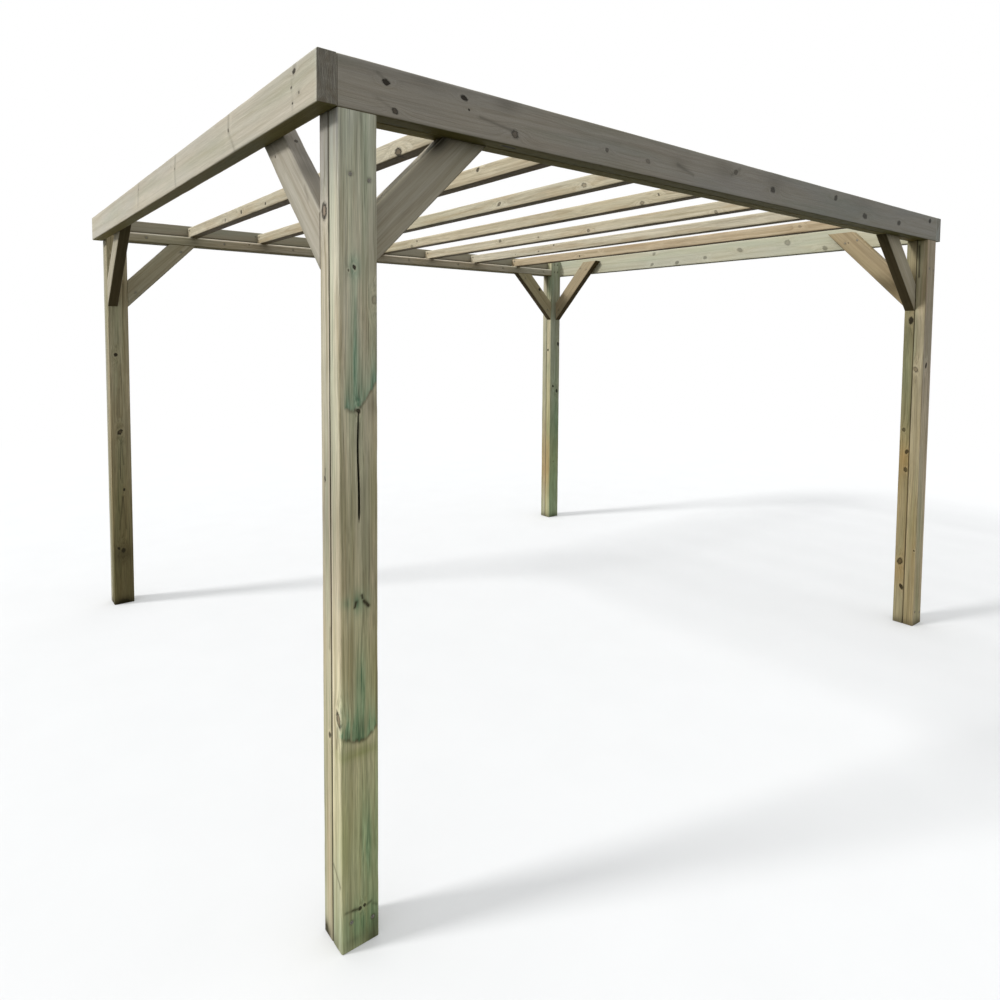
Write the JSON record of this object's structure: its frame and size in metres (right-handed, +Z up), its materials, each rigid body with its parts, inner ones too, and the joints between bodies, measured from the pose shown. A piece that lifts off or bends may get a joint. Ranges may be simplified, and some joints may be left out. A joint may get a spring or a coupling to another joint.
{
  "type": "garden pergola",
  "caption": "Open timber garden pergola with double-board posts, a level beam frame, rafters on ledgers and diagonal corner braces.",
  "frame": {"origin": "on the ground at the middle of the frame", "axes": "+X along the front from left to right, +Y from front to back, +Z up"},
  "size_m": [3.44, 2.93, 2.13],
  "materials": {
    "beam_timber": "matt planed softwood, weathered",
    "ledger_timber": "matt planed softwood, weathered",
    "rafter_timber": "matt planed softwood",
    "post_timber": "matt planed softwood, green treated",
    "brace_timber": "matt planed softwood",
    "screw_steel": "dull zinc-plated screw heads"
  },
  "bodies": {
    "root": {"front_beam": "beam_timber", "back_beam": "beam_timber", "left_beam": "beam_timber", "right_beam": "beam_timber", "front_ledger": "ledger_timber", "back_ledger": "ledger_timber", "rafter_1": "rafter_timber", "rafter_2": "rafter_timber", "rafter_3": "rafter_timber", "rafter_4": "rafter_timber", "rafter_5": "rafter_timber", "rafter_6": "rafter_timber", "rafter_7": "rafter_timber", "front_left_post_outer": "post_timber", "front_left_post_inner": "post_timber", "front_right_post_outer": "post_timber", "front_right_post_inner": "post_timber", "back_left_post_outer": "post_timber", "back_left_post_inner": "post_timber", "back_right_post_outer": "post_timber", "back_right_post_inner": "post_timber", "front_brace_left": "brace_timber", "front_brace_right": "brace_timber", "back_brace_left": "brace_timber", "back_brace_right": "brace_timber", "left_brace_front": "brace_timber", "left_brace_back": "brace_timber", "right_brace_front": "brace_timber", "right_brace_back": "brace_timber"}
  },
  "joints": []
}
